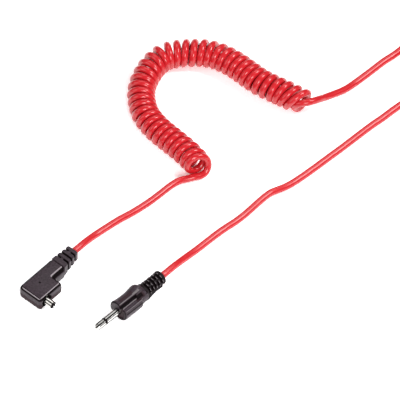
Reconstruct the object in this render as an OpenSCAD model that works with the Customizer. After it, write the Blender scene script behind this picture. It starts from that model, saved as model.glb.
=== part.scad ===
// Flash synchronisation cord: a right-angle coaxial plug and a straight
// two-pole jack plug, joined by a springy curled cord. All sizes in mm.

/* [Cord] */
// Diameter of the cord's jacket
cord_d = 3.3; // [3.2:0.05:3.35]
// Diameter of the cord where it is wound, drawn slim so that turns stay apart
wound_d = 2.6; // [2.5:0.05:2.6]
// Radius of a curl, from the coil's axis to the middle of the cord
curl_r = 4.85; // [4.7:0.05:4.9]
// Curls in the first straight run of the coil
curls_first = 9; // [8:1:10]
// Curls in the bend of the coil
curls_bend = 18; // [16:1:18]
// Curls in the last straight run of the coil
curls_last = 12; // [10:1:12]
// Radius of the bend in the coil
bend_r = 24; // [24:0.5:26]

/* [Right-angle plug] */
// Length of the moulded body along the cord
angle_body_l = 22.6; // [22:0.1:24]
// Length of the wide head of the body
angle_head_l = 13.9; // [13:0.1:15]
// Width of the head, from its back to the side that the tip leaves
angle_head_w = 12.2; // [11.5:0.1:13]
// Width of the neck behind the head
angle_neck_w = 7; // [6.8:0.1:7.4]
// Height of the body
angle_h = 7; // [6.8:0.1:7.4]
// Length of the strain relief
angle_relief_l = 11.2; // [10.8:0.1:12]
// Distance that the tip stands out of the body
tip_reach = 4.4; // [4:0.1:5]
// Outer diameter of the slotted tip
tip_d = 3.5; // [3.4:0.1:3.6]

/* [Jack plug] */
// Diameter of the jack's shaft
jack_d = 3.5; // [3.4:0.1:3.6]
// Length of the shaft in front of the body
jack_finger = 14; // [13.5:0.1:14.5]
// Length of the moulded grip
jack_body_l = 15.5; // [15.5:0.1:16.5]
// Length of the strain relief
jack_relief_l = 12.4; // [12.4:0.1:13]
// Radius of the strain relief
jack_relief_r = 3.4; // [3.3:0.05:3.5]

/* [Stored coil] */
// Mean radius of the stored turns
store_r = 18; // [17:0.5:19]
// Distance between the middles of neighbouring stored turns
store_pitch = 3.45; // [3.45:0.05:3.6]
// Turns from the coil's outside to its inside
store_turns = 3.32; // [2.32:1:3.32]

/* [Hidden] */
$fn = 36;

moulded = [0.29, 0.24, 0.28];
premould = [0.85, 0.84, 0.8];
nickel = [0.84, 0.83, 0.8];
brass = [0.78, 0.62, 0.33];
black = [0.08, 0.08, 0.09];
solder_grey = [0.7, 0.71, 0.73];
red = [0.78, 0.13, 0.15];

cord_r = cord_d / 2;

// ---------- small tools ----------

function unit(v) = v / norm(v);
function flat_dir(a) = [cos(a), sin(a), 0];
// Part of v that is square to t
function square_to(v, t) = unit(v - (v * t) * t);
// Round corner: centre, radius, first and last angle, steps
function corner(c, r, a0, a1, n) =
    [for (i = [0 : n]) c + r * [cos(a0 + (a1 - a0) * i / n), sin(a0 + (a1 - a0) * i / n)]];
// Value of a polyline profile [[x, y], ...] at x
function along(profile, x, i = 0) =
    x <= profile[0][0] ? profile[0][1]
    : i >= len(profile) - 1 ? profile[len(profile) - 1][1]
    : x <= profile[i + 1][0]
        ? profile[i][1] + (profile[i + 1][1] - profile[i][1])
            * (x - profile[i][0]) / (profile[i + 1][0] - profile[i][0])
    : along(profile, x, i + 1);
// Weight that falls from 1 to 0 as x goes from a to b, with smooth ends
function fade(x, a, b) =
    let (t = max(0, min(1, (x - a) / (b - a)))) 1 - t * t * (3 - 2 * t);

// Directions of a run of points, one-sided at its ends
function headings(p) = [for (i = [0 : len(p) - 1])
    unit(p[min(i + 1, len(p) - 1)] - p[max(i - 1, 0)])];
// Smooth curve from p0 to p1 that leaves along m0 and arrives along m1, without its ends
function bridge(p0, m0, p1, m1, n) = [for (i = [1 : n - 1]) let (t = i / n)
    (2 * t ^ 3 - 3 * t ^ 2 + 1) * p0 + (t ^ 3 - 2 * t ^ 2 + t) * m0
    + (3 * t ^ 2 - 2 * t ^ 3) * p1 + (t ^ 3 - t ^ 2) * m1];
// Least distance between points of a run that are more than skip apart along it
function least_gap(p, skip) = min([for (i = [0 : len(p) - 1 - skip])
    min([for (j = [i + skip : len(p) - 1]) norm(p[i] - p[j])])]);

// Closed skin over rings of equal size, with triangles only
module skin(rings) {
    n = len(rings[0]);
    m = len(rings);
    points = [for (ring = rings) for (p = ring) p];
    sides = [for (k = [0 : m - 2]) for (i = [0 : n - 1])
        for (f = [[k * n + i, (k + 1) * n + i, (k + 1) * n + (i + 1) % n],
                  [k * n + i, (k + 1) * n + (i + 1) % n, k * n + (i + 1) % n]]) f];
    first = [for (i = [1 : n - 2]) [0, i, i + 1]];
    last = [for (i = [1 : n - 2]) [(m - 1) * n, (m - 1) * n + i + 1, (m - 1) * n + i]];
    polyhedron(points, concat(sides, first, last), convexity = 10);
}

// Round tube along points; normals fix where each ring's first corner points
module tube(points, normals, d, sides) {
    t = headings(points);
    skin([for (i = [0 : len(points) - 1])
        let (a = square_to(normals[i], t[i]), b = cross(t[i], a))
        [for (k = [0 : sides - 1])
            points[i] + d / 2 * (cos(360 * k / sides) * a + sin(360 * k / sides) * b)]]);
}

module lead(points) {
    laid() tube(points, [for (p = points) [0, 0, 1]], cord_d, 8);
}

// ---------- where the two plugs lie ----------

angle_place = [-30.6, -3.0, 0];
angle_turn = 47.8;
jack_place = [10.9, -13.3, 5.33];
jack_turn = 45.6;
// The jack plug lies rolled over onto one of its grips
jack_roll = 30;

// Brings the middle of the box round both plugs over the origin
layout_shift = [-0.14, 0.35, 0];

module laid() {
    translate(layout_shift) children();
}

module at_angle_plug() {
    laid() translate(angle_place) rotate([0, 0, angle_turn]) children();
}

module at_jack_plug() {
    laid() translate(jack_place) rotate([0, 0, jack_turn]) rotate([jack_roll, 0, 0]) children();
}

// ---------- right-angle plug ----------
// Its own frame: x runs from the head's end face to the cord, the tip points
// along -y, and the cord's axis is y = 0 at half height.

mid_h = angle_h / 2;
back_y = angle_neck_w / 2;
front_y = back_y - angle_head_w;
tip_x = 4.3;
tip_r = tip_d / 2;
// Depths along the tip, from its mouth into the body
recess_r = 2.8;
recess_floor = tip_reach + 1.7;
flange_at = recess_floor + 0.4;
flange_t = 1;
flange_r = 2.6;
tag_t = 0.4;
sleeve_end = flange_at + flange_t + tag_t + 0.3;
sleeve_bore_r = 1.4;
// Shoulder where a contact's shaft enters its moulding
shoulder_r = 1.95;
pin_r = 0.5;
pin_start = 0.7;
pin_end = sleeve_end + 2;
mould_w = 6.8;
mould_h = 5;
mould_depth = 4.3;
wiring_l = 12;
wiring_h = 3.4;
plateau_step = 0.6;

// Plan outline of the body, drawn in by inset. The wall's corners are round,
// and the plateau's are nearly sharp.
function body_outline(inset) =
    let (r = 2.6 - 2.2 * min(1, inset / plateau_step), x0 = inset, x1 = angle_body_l - inset * 0.3,
         xh = angle_head_l - inset, y0 = front_y + inset, y1 = back_y - inset,
         yn = back_y - angle_neck_w + inset, rn = 1.2 - inset * 0.5)
    concat(
        corner([x0 + r, y1 - r], r, 180, 90, 6),
        [[x1, y1], [x1, yn]],
        corner([xh + rn, yn - rn], rn, 90, 180, 4),
        corner([xh - r, y0 + r], r, 0, -90, 6),
        corner([x0 + r, y0 + r], r, -90, -180, 6));

// Height and inset of the body's levels from its underside to its middle
body_levels = [[0, 0.95], [0.3, 0.6], [0.6, 0.6], [0.62, 0.42], [0.85, 0.16], [1.3, 0.04], [2, 0]];

module angle_shell() {
    up = [for (l = body_levels) [l[0], l[1]]];
    down = [for (i = [len(body_levels) - 1 : -1 : 0]) [angle_h - body_levels[i][0], body_levels[i][1]]];
    skin([for (l = concat(up, down)) [for (p = body_outline(l[1])) [p[0], p[1], l[0]]]]);
}

// Turns a solid drawn along +z from the tip's mouth so that it enters the body
module into_head() {
    translate([tip_x, front_y - tip_reach, mid_h]) rotate([-90, 0, 0]) children();
}

module ring(r_out, r_in, from, to) {
    translate([0, 0, from]) difference() {
        cylinder(r = r_out, h = to - from);
        translate([0, 0, -1]) cylinder(r = r_in, h = to - from + 2);
    }
}

module mould_block() {
    translate([tip_x - mould_w / 2, front_y - tip_reach + recess_floor, mid_h - mould_h / 2])
        cube([mould_w, mould_depth, mould_h]);
}

// Space behind the inner mould that the soldered wires lie in
module wiring_space() {
    y0 = front_y - tip_reach + recess_floor + mould_depth;
    translate([tip_x - mould_w / 2, y0, mid_h - wiring_h / 2])
        cube([wiring_l - tip_x + mould_w / 2, back_y - 1.6 - y0, wiring_h]);
}

module angle_body() {
    color(moulded) at_angle_plug() difference() {
        angle_shell();
        mould_block();
        wiring_space();
        into_head() translate([0, 0, -1]) cylinder(r = recess_r, h = recess_floor + 1);
        translate([wiring_l, 0, mid_h]) rotate([0, 90, 0]) cylinder(r = cord_r, h = angle_body_l);
        translate([9, -2.4, angle_h - 0.25]) cylinder(r = 0.55, h = 1);
    }
}

module sleeve_solid() {
    rotate_extrude() polygon([
        [sleeve_bore_r, 0.25], [tip_r - 0.15, 0], [tip_r, 0.35], [tip_r, recess_floor],
        [shoulder_r, recess_floor], [shoulder_r, flange_at], [flange_r, flange_at],
        [flange_r, flange_at + flange_t], [shoulder_r, flange_at + flange_t],
        [shoulder_r, sleeve_end], [sleeve_bore_r, sleeve_end]]);
}

module angle_tip_sleeve() {
    slot_w = 0.36;
    slot_l = 3.2;
    color(nickel) at_angle_plug() into_head() difference() {
        sleeve_solid();
        for (a = [20, 110])
            rotate([0, 0, a]) translate([-tip_r - 1, -slot_w / 2, -1]) cube([tip_d + 2, slot_w, slot_l + 1]);
    }
}

module angle_tip_insulator() {
    color(premould) at_angle_plug() into_head() ring(sleeve_bore_r, pin_r, slot_end, sleeve_end);
}

module angle_centre_pin() {
    color(nickel) at_angle_plug() into_head() difference() {
        translate([0, 0, pin_start]) cylinder(r = pin_r, h = pin_end - pin_start);
        translate([0, 0, pin_start - 1]) cylinder(r = 0.28, h = 2.2);
    }
}

slot_end = 3.4;
tag_arm_l = 5.6;
tag_arm_w = 1.6;

// Tag that carries the screen: a washer behind the flange with an arm to the wiring space
module screen_tag_solid() {
    translate([0, 0, flange_at + flange_t]) {
        difference() {
            union() {
                cylinder(r = flange_r, h = tag_t);
                translate([0, -tag_arm_w / 2, 0]) cube([mould_w / 2 - 0.3, tag_arm_w, tag_t]);
                translate([mould_w / 2 - 0.3 - tag_t, -tag_arm_w / 2, 0]) cube([tag_t, tag_arm_w, tag_arm_l]);
            }
            translate([0, 0, -1]) cylinder(r = shoulder_r, h = 3);
        }
    }
}

module angle_screen_tag() {
    color(brass) at_angle_plug() into_head() screen_tag_solid();
}

module angle_inner_mould() {
    color(premould) at_angle_plug() difference() {
        mould_block();
        into_head() {
            translate([0, 0, flange_at]) cylinder(r = flange_r, h = flange_t);
            translate([0, 0, -1]) cylinder(r = shoulder_r, h = sleeve_end + 1);
            screen_tag_solid();
            cylinder(r = pin_r, h = 30);
        }
    }
}

// Ends of the wires, in the plug's frame
pin_tail = [tip_x, front_y - tip_reach + pin_end, mid_h];
tag_tail = [tip_x + mould_w / 2 - 0.3, front_y - tip_reach + flange_at + flange_t + tag_arm_l, mid_h];
angle_core_route = [pin_tail + [0.95, 0.35, 0.15], pin_tail + [2, 0.9, 0.5], [8.5, -0.4, mid_h + 0.9],
    [10.5, 0, mid_h + 0.75], [wiring_l, 0, mid_h + 0.75]];
angle_screen_route = [tag_tail + [1.2, -0.6, -0.1], [9.6, -0.45, mid_h - 0.7], [10.5, 0, mid_h - 0.75],
    [wiring_l, 0, mid_h - 0.75]];

module wire(route, d) {
    tube(route, [for (p = route) [0, 0, 1]], d, 8);
}

module angle_core_wire() {
    color([0.9, 0.9, 0.88]) at_angle_plug() wire(angle_core_route, 1);
}

module angle_screen_wire() {
    color(brass) at_angle_plug() wire(angle_screen_route, 0.8);
}

// Solder beads where the core meets the pin and the screen meets its tag
bead_r = 0.75;
angle_pin_bead = pin_tail + [0, 0.1, 0];
angle_tag_bead = tag_tail + [0.5, -0.7, 0];

module angle_solder() {
    color(solder_grey) at_angle_plug() {
        difference() {
            translate(angle_pin_bead) sphere(r = bead_r, $fn = 24);
            into_head() cylinder(r = pin_r, h = pin_end);
        }
        translate(angle_tag_bead) sphere(r = 0.5, $fn = 24);
    }
}

module cord_piece(from, to) {
    translate([from, 0, 0]) rotate([0, 90, 0]) cylinder(r = cord_r, h = to - from);
}

module angle_cord_end() {
    color(red) at_angle_plug() translate([0, 0, mid_h])
        cord_piece(wiring_l, angle_body_l + angle_relief_l);
}

// Section of the strain relief: a square with round corners
function relief_section(x, w, h) =
    let (r = 1.5) [for (p = concat(
        corner([w / 2 - r, h / 2 - r], r, 0, 90, 5), corner([r - w / 2, h / 2 - r], r, 90, 180, 5),
        corner([r - w / 2, r - h / 2], r, 180, 270, 5), corner([w / 2 - r, r - h / 2], r, 270, 360, 5)))
        [x, p[0], p[1]]];

rib_count = 4;
slot_w = 0.85;
rib_pitch = (angle_relief_l - 0.4) / rib_count;
rib_w = rib_pitch - slot_w;
// Radius of the core that the slots leave round the cord
relief_core_r = 2.05;

// Stations of one rib: its shoulders are rounded off
function rib_stations(k) = let (x0 = angle_body_l + 0.4 + k * rib_pitch)
    [[x0, 0.3], [x0 + 0.25, 0.05], [x0 + rib_w / 2, 0], [x0 + rib_w - 0.25, 0.05], [x0 + rib_w, 0.3]];
relief_stations = concat(
    [[angle_body_l, 0.45], [angle_body_l + 0.38, 0.45]],
    [for (k = [0 : rib_count - 1]) for (s = rib_stations(k)) s]);

module angle_relief_blank() {
    skin([for (s = relief_stations)
        let (t = (s[0] - angle_body_l) / angle_relief_l, in = 2 * s[1])
        relief_section(s[0], 6.3 - 0.9 * t - in, 6.5 - 0.9 * t - in)]);
}

// Slot k leaves bridges over the top and bottom when k is even, and at the sides when odd
module angle_slot(k) {
    x0 = angle_body_l + 0.4 + k * rib_pitch + rib_w;
    bridge_w = k % 2 == 0 ? [1.7, 10] : [10, 2.2];
    difference() {
        translate([x0, -5, -5]) cube([slot_w, 10, 10]);
        translate([x0 - 1, 0, 0]) rotate([0, 90, 0]) cylinder(r = relief_core_r, h = slot_w + 2);
        translate([x0 - 1, -bridge_w[0] / 2, -bridge_w[1] / 2]) cube([slot_w + 2, bridge_w[0], bridge_w[1]]);
    }
}

module angle_strain_relief() {
    color(moulded) at_angle_plug() translate([0, 0, mid_h]) difference() {
        angle_relief_blank();
        for (k = [0 : rib_count - 2]) angle_slot(k);
        cord_piece(0, 100);
    }
}

// ---------- jack plug ----------
// Its own frame: x runs from the grip's front face to the cord, the shaft
// points along -x, the raised grip pad faces -y and the long flute faces +z.

jack_r = jack_d / 2;
// Distances from the front face
ring_back = 5.2 - jack_finger;
ring_front = ring_back - 0.6 + 1.2;
tube_r = 1.15;
rod_r = 0.75;
jack_flange = [0.6, 1.4];
jack_flange_r = 2.9;
washer = [1.4, 1.9];
washer_r = 2.5;
tag_plate = [1.9, 2.2];
rod_end = 3.4;
jack_mould = [0.6, 8];
jack_mould_r = 3.2;
jack_wiring = [8, 12];
jack_wiring_r = 2.9;

// Radius of the grip along the plug: plain cheek, raised pad, and in between
cheek_profile = [[0, 4.3], [0.25, 4.8], [0.8, 5], [1.8, 4.75], [4, 4.65], [7, 4.5], [9, 4.6], [11, 4.9],
    [13.4, 5.2], [14.3, 4.85], [15, 4.3], [jack_body_l, 3.6]];
pad_profile = [[0, 4.7], [0.25, 5.2], [0.8, 5.55], [10.6, 5.65], [11.1, 5.45], [11.5, 4.85], [15, 4.75],
    [jack_body_l, 4.6]];
top_profile = [[0, 4.1], [0.25, 4.5], [0.8, 4.65], [4, 4.5], [9, 4.45], [12.5, 4.6], [14.3, 4.45],
    [15, 4.1], [jack_body_l, 3.5]];
flute_depth = 0.95;

function grip_r(a, x) =
    let (cheek = fade(a, 50, 72), pad = 1 - fade(a, 128, 138),
         flute = (1 - fade(a, 72, 78)) * fade(a, 86, 92) * (1 - fade(x, 2.2, 2.8)) * fade(x, 10.9, 11.5),
         top = along(top_profile, x))
    top + cheek * (along(cheek_profile, x) - top) + pad * (along(pad_profile, x) - top)
    - flute_depth * flute;

grip_angles = [0, 12, 24, 36, 48, 60, 70, 74, 78, 82, 86, 90, 100, 112, 124, 130, 136, 148, 164];
grip_stations = [0, 0.25, 0.8, 1.8, 2.2, 2.8, 4, 7, 9, 10.6, 11.1, 11.5, 12.5, 13.4, 14.3, 15, jack_body_l];

function grip_ring(x) = [for (s = [1, -1]) for (i = [0 : len(grip_angles) - 1])
    let (a = s > 0 ? grip_angles[i] : (i == 0 ? 180 : grip_angles[len(grip_angles) - i]))
    [x, grip_r(a, x) * cos(a), s * grip_r(a, x) * sin(a)]];

module along_x() {
    rotate([0, 90, 0]) children();
}

module jack_body() {
    color(moulded) at_jack_plug() difference() {
        skin([for (x = grip_stations) grip_ring(x)]);
        along_x() {
            translate([0, 0, -1]) cylinder(r = shoulder_r, h = 3);
            translate([0, 0, jack_mould[0]]) cylinder(r = jack_mould_r, h = jack_mould[1] - jack_mould[0]);
            translate([0, 0, jack_wiring[0]]) cylinder(r = jack_wiring_r, h = jack_wiring[1] - jack_wiring[0]);
            translate([0, 0, jack_wiring[1]]) cylinder(r = cord_r, h = 20);
        }
    }
}

module jack_sleeve() {
    color(nickel) at_jack_plug() along_x() rotate_extrude() polygon([
        [tube_r, ring_front], [jack_r, ring_front], [jack_r, 0], [shoulder_r, 0],
        [shoulder_r, jack_flange[0]], [jack_flange_r, jack_flange[0]], [jack_flange_r, jack_flange[1]], [tube_r, jack_flange[1]]]);
}

module jack_ring_insulator() {
    color(black) at_jack_plug() along_x() ring(jack_r, tube_r, ring_back, ring_front);
}

module jack_tube_insulator() {
    color(premould) at_jack_plug() along_x() ring(tube_r, rod_r, ring_back, jack_flange[1]);
}

// Tip contact and the rod behind it, turned in one piece
module jack_tip() {
    f = -jack_finger;
    color(nickel) at_jack_plug() along_x() rotate_extrude() polygon([
        [0, f], [0.45, f], [0.9, f + 0.25], [jack_r - 0.15, f + 1.35], [jack_r - 0.1, f + 1.75],
        [1.2, f + 2.7], [1.2, f + 3.2], [jack_r, f + 4], [jack_r, ring_back], [rod_r, ring_back],
        [rod_r, rod_end], [0, rod_end]]);
}

module jack_rear_washer() {
    color(black) at_jack_plug() along_x() ring(washer_r, rod_r, washer[0], washer[1]);
}

module tip_tag_solid() {
    difference() {
        union() {
            translate([0, 0, tag_plate[0]]) cylinder(r = 1.4, h = tag_plate[1] - tag_plate[0]);
            translate([-1.9, -0.7, tag_plate[0]]) cube([1.2, 1.4, tag_plate[1] - tag_plate[0]]);
            translate([-1.9, -0.7, tag_plate[0]]) cube([0.3, 1.4, 5]);
        }
        translate([0, 0, -1]) cylinder(r = rod_r, h = 20);
    }
}

module jack_tip_tag() {
    color(brass) at_jack_plug() along_x() tip_tag_solid();
}

// Long tag from the flange's edge
module screen_tag_long() {
    translate([jack_flange_r - 0.25, -0.9, jack_flange[1]]) cube([0.25, 1.8, jack_wiring[1] - jack_flange[1]]);
}

module jack_screen_tag() {
    color(brass) at_jack_plug() along_x() screen_tag_long();
}

module jack_inner_mould() {
    color(premould) at_jack_plug() along_x() difference() {
        translate([0, 0, jack_mould[0]]) cylinder(r = jack_mould_r, h = jack_mould[1] - jack_mould[0]);
        translate([0, 0, -1]) cylinder(r = shoulder_r, h = 2);
        translate([0, 0, jack_flange[0]]) cylinder(r = jack_flange_r, h = jack_flange[1] - jack_flange[0]);
        translate([0, 0, washer[0]]) cylinder(r = washer_r, h = washer[1] - washer[0]);
        translate([0, 0, washer[0]]) cylinder(r = rod_r, h = rod_end - washer[0]);
        tip_tag_solid();
        screen_tag_long();
        translate([0, 0, jack_mould[1] - 2]) cylinder(r = 2.2, h = 3);
    }
}

jack_core_route = [[7.2, 0, 1.2], [8.2, 0, 1.1], [9.5, 0, 0.95], [11, 0, 0.75], [jack_wiring[1], 0, 0.75]];
jack_screen_route = [[9.5, 0, -1.85], [10, 0, -1.5], [11, 0, -0.8], [jack_wiring[1], 0, -0.8]];

module jack_core_wire() {
    color([0.9, 0.9, 0.88]) at_jack_plug() tube(jack_core_route, [for (p = jack_core_route) [0, 1, 0]], 1, 8);
}

module jack_screen_wire() {
    color(brass) at_jack_plug() tube(jack_screen_route, [for (p = jack_screen_route) [0, 1, 0]], 0.8, 8);
}

module jack_solder() {
    color(solder_grey) at_jack_plug() {
        translate([6.55, 0, 1.2]) sphere(r = 0.6, $fn = 24);
        translate([8.9, 0, -2.05]) sphere(r = 0.55, $fn = 24);
    }
}

module jack_cord_end() {
    color(red) at_jack_plug() cord_piece(jack_wiring[1], jack_body_l + jack_relief_l);
}

// Strain relief: collar, five slotted ribs, end collar, and a keel along one side
collar_l = 1.5;
jack_slots = 5;
jack_slot_w = 0.95;
jack_slot_pitch = 1.95;
jack_core_r = 2.2;
keel_profile = [[0, 0], [0, 4.6], [1.2, 4.4], [3, 4.2], [6, 3.95], [8.2, 4], [9.3, 4], [9.7, 3.7], [9.7, 0]];

module jack_relief_blank() {
    r = jack_relief_r;
    l = jack_relief_l;
    along_x() rotate_extrude() polygon([
        [0, 0], [3.7, 0], [3.7, collar_l - 0.4], [r + 0.05, collar_l], [r, 5], [r - 0.1, l - 3], [r, l - 2],
        [r, l - 0.9], [r - 0.25, l - 0.3], [r - 0.7, l], [0, l]]);
}

// Slot k runs over the top between the side spines; every other one has a bridge in its middle
module jack_slot(k) {
    x0 = collar_l + k * jack_slot_pitch;
    spine = 0.9;
    difference() {
        translate([x0, 0, 0]) along_x() cylinder(r = 6, h = jack_slot_w);
        translate([x0 - 1, 0, 0]) along_x() cylinder(r = jack_core_r, h = jack_slot_w + 2);
        translate([x0 - 1, 2.7, -3]) cube([jack_slot_w + 2, 4, 6]);
        translate([x0 - 1, -6.5, -3]) cube([jack_slot_w + 2, 4, 6]);
        if (k % 2 == 1) translate([x0 - 1, -spine / 2, -7]) cube([jack_slot_w + 2, spine, 14]);
    }
}

module jack_strain_relief() {
    color(moulded) at_jack_plug() translate([jack_body_l, 0, 0]) difference() {
        union() {
            jack_relief_blank();
            translate([0, 0, -1.2]) linear_extrude(2.4) polygon([for (p = keel_profile) [p[0], -p[1]]]);
        }
        for (k = [0 : jack_slots - 1]) jack_slot(k);
        cord_piece(-1, 100);
    }
}

// ---------- curly cord ----------
// The coil's axis: a straight run, a bend to the right, and a straight run.

curl_start = [48.6, 68.3, 0];
first_heading = 128.4;
first_run = 35;
bend_angle = 164.8;
last_run = 42;
axis_h = curl_r + cord_r;
rings_per_curl = 8;
start_phase = -80;
end_phase = -60;

bend_l = bend_r * bend_angle * PI / 180;
axis_l = first_run + bend_l + last_run;
turn_total = curls_first + curls_bend + curls_last + (end_phase - start_phase) / 360;
bend_start = curl_start + first_run * flat_dir(first_heading);
bend_centre = bend_start + bend_r * flat_dir(first_heading - 90);
last_heading = first_heading - bend_angle;
last_start = bend_centre - bend_r * flat_dir(last_heading - 90);

// Turns made by a distance s along the axis, and the distance at which u turns are made
function axis_at_turn(u) = u <= curls_first ? u / curls_first * first_run
    : u <= curls_first + curls_bend ? first_run + (u - curls_first) / curls_bend * bend_l
    : first_run + bend_l + (u - curls_first - curls_bend) / (turn_total - curls_first - curls_bend) * last_run;
function axis_heading(s) = s <= first_run ? first_heading
    : s <= first_run + bend_l ? first_heading - (s - first_run) / bend_r * 180 / PI
    : last_heading;
function axis_point(s) = s <= first_run ? curl_start + s * flat_dir(first_heading)
    : s <= first_run + bend_l ? bend_centre - bend_r * flat_dir(axis_heading(s) - 90)
    : last_start + (s - first_run - bend_l) * flat_dir(last_heading);
function curl_out(u) = let (a = start_phase + 360 * u)
    cos(a) * flat_dir(axis_heading(axis_at_turn(u)) - 90) + [0, 0, sin(a)];
function curl_point(u) = axis_point(axis_at_turn(u)) + [0, 0, axis_h] + curl_r * curl_out(u);

curl_rings = round(turn_total * rings_per_curl);
curl_turns = [for (i = [0 : curl_rings]) turn_total * i / curl_rings];
curl_path = [for (u = curl_turns) curl_point(u)];
curl_in_dir = unit(curl_point(0.01) - curl_point(0));
curl_out_dir = unit(curl_point(turn_total) - curl_point(turn_total - 0.01));

// Where the leads meet the curled part, and which way the cord runs there
curly_in = [42.4, 65.3, cord_r];
curly_in_dir = unit([1, 0.3, 0]);
curly_out = [100.2, 108.4, 6.2];
curly_out_dir = unit([0.82, 0.5, -0.2]);
tail_pull = 7;

curly_path = concat(
    [curly_in, curly_in + wound_d * curly_in_dir],
    bridge(curly_in + wound_d * curly_in_dir, tail_pull * curly_in_dir, curl_path[0], tail_pull * curl_in_dir, 3),
    curl_path,
    bridge(curl_path[curl_rings], tail_pull * curl_out_dir, curly_out - wound_d * curly_out_dir,
        tail_pull * curly_out_dir, 5),
    [curly_out - wound_d * curly_out_dir, curly_out]);
curly_normals = concat([for (i = [0 : 3]) [0, 0, -1]], [for (u = curl_turns) curl_out(u)],
    [for (i = [0 : 5]) [0, 0, -1]]);
echo(curly_gap = least_gap(curly_path, 5) - wound_d);

module curly_cord() {
    color(red) laid() tube(curly_path, curly_normals, wound_d, 6);
}

// ---------- leads and stored coil ----------

angle_exit = angle_place + (angle_body_l + angle_relief_l) * flat_dir(angle_turn) + [0, 0, mid_h];
angle_lead_route = [[-6.3, 25.3, 3.6], [-3.4, 28.9, 3], [-0.9, 31.8, 2.3], [1.6, 34.4, 1.8], [6.4, 38.5, cord_r],
    [11.4, 42.5, cord_r], [16.5, 46, cord_r], [21.2, 49.6, cord_r], [25.8, 53.5, cord_r], [30.3, 57.9, cord_r],
    [34.8, 62.2, cord_r], [38.2, 64, cord_r]];

module angle_lead() {
    color(red) lead(concat([angle_exit, angle_exit + 2 * flat_dir(angle_turn)], angle_lead_route,
        [curly_in - 1.5 * curly_in_dir, curly_in]));
}

store_centre = [166.5, 137, 0];
store_lift = 0.6;
store_in_angle = 140;
store_rings = 24;
store_low = store_lift + cord_r;
store_all = 2 * store_turns;
store_edge = store_r + store_pitch * store_turns / 2;

// Turns run clockwise: inwards on the floor, up in half a turn, and outwards on top
function store_radius(u) = store_edge - store_pitch * (store_turns - abs(u - store_turns));
function store_height(u) = store_low + store_pitch * (1 - fade(u, store_turns - 0.25, store_turns + 0.25));
function store_point(u) = store_centre + store_radius(u) * flat_dir(store_in_angle - 360 * u)
    + [0, 0, store_height(u)];
store_count = round(store_all * store_rings);
store_path = [for (i = [0 : store_count]) store_point(store_all * i / store_count)];
store_in_dir = flat_dir(store_in_angle - 90);
store_out_dir = flat_dir(store_in_angle - 360 * store_all - 90);
stored_path = concat([store_path[0] - wound_d * store_in_dir], store_path,
    [store_path[store_count] + wound_d * store_out_dir]);
echo(stored_gap = least_gap(stored_path, 8) - wound_d);

module stored_coil() {
    color(red) laid() tube(stored_path, [for (p = stored_path) [0, 0, 1]], wound_d, 6);
}

far_lead_route = [[106.4, 112, 4.6], [113.1, 117.2, 2.6], [117.2, 121.2, 1.8], [122, 125.8, cord_r],
    [126.4, 130.1, cord_r], [130.7, 134.3, cord_r], [135.3, 138.1, cord_r], [139.6, 142.4, cord_r]];
store_entry = stored_path[0];

module far_lead() {
    color(red) lead(concat([curly_out, curly_out + 1.5 * curly_out_dir], far_lead_route,
        [store_entry - 1.5 * store_in_dir, store_entry]));
}

jack_exit = jack_place + (jack_body_l + jack_relief_l) * flat_dir(jack_turn);
jack_lead_route = [[36, 13, 4.7], [40.9, 19, 3.1], [45.8, 24.4, 2], [50.4, 29.2, cord_r], [54.8, 33.6, cord_r],
    [59.4, 37.8, cord_r], [64.2, 41.8, cord_r], [68.8, 46.4, cord_r], [73.2, 51.5, cord_r], [77.8, 56.5, cord_r],
    [83, 59.9, cord_r], [89, 63.4, cord_r], [93.6, 67.2, cord_r], [98, 71.2, cord_r], [102.4, 75.3, cord_r],
    [106.9, 79.6, cord_r], [111.4, 83.8, cord_r], [115.8, 88.1, cord_r], [120.6, 92.8, cord_r],
    [125.3, 97.3, cord_r], [130.2, 101.6, cord_r], [135, 106.2, cord_r], [140, 110.4, 1.8], [146, 113.2, 2.9],
    [153, 114.6, 4.4]];
store_exit = stored_path[len(stored_path) - 1];

module jack_lead() {
    color(red) lead(concat([jack_exit, jack_exit + 2 * flat_dir(jack_turn)], jack_lead_route,
        [store_exit + 1.5 * store_out_dir, store_exit]));
}

// Band that holds the stored turns together: a flat loop round their section
tie_angle = 20;
tie_w = 4;
tie_t = 0.5;

function tie_outline(grow) =
    let (x0 = store_edge - store_pitch * store_turns - cord_r - 0.15 - grow, x1 = store_edge + cord_r + 0.15 + grow,
         y0 = tie_t - grow, y1 = store_lift + 2 * cord_r + store_pitch + 0.1 + grow, r = 1.2 + grow)
    concat(corner([x1 - r, y1 - r], r, 0, 90, 6), corner([x0 + r, y1 - r], r, 90, 180, 6),
        corner([x0 + r, y0 + r], r, 180, 270, 6), corner([x1 - r, y0 + r], r, 270, 360, 6));

module coil_tie() {
    color(black) laid() translate(store_centre) rotate([0, 0, tie_angle]) rotate([90, 0, 0])
        translate([0, 0, -tie_w / 2]) linear_extrude(tie_w) difference() {
            polygon(tie_outline(tie_t));
            polygon(tie_outline(0));
        }
}

angle_body();
angle_strain_relief();
angle_inner_mould();
angle_tip_sleeve();
angle_tip_insulator();
angle_centre_pin();
angle_screen_tag();
angle_core_wire();
angle_screen_wire();
angle_solder();
angle_cord_end();
jack_body();
jack_strain_relief();
jack_inner_mould();
jack_sleeve();
jack_ring_insulator();
jack_tip();
jack_tube_insulator();
jack_rear_washer();
jack_tip_tag();
jack_screen_tag();
jack_core_wire();
jack_screen_wire();
jack_solder();
jack_cord_end();
angle_lead();
curly_cord();
far_lead();
stored_coil();
coil_tie();
jack_lead();
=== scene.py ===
from math import atan2, cos, degrees, pi, radians, sin, sqrt

import bmesh
import bpy
import numpy as np
from mathutils import Matrix, Vector


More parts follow.
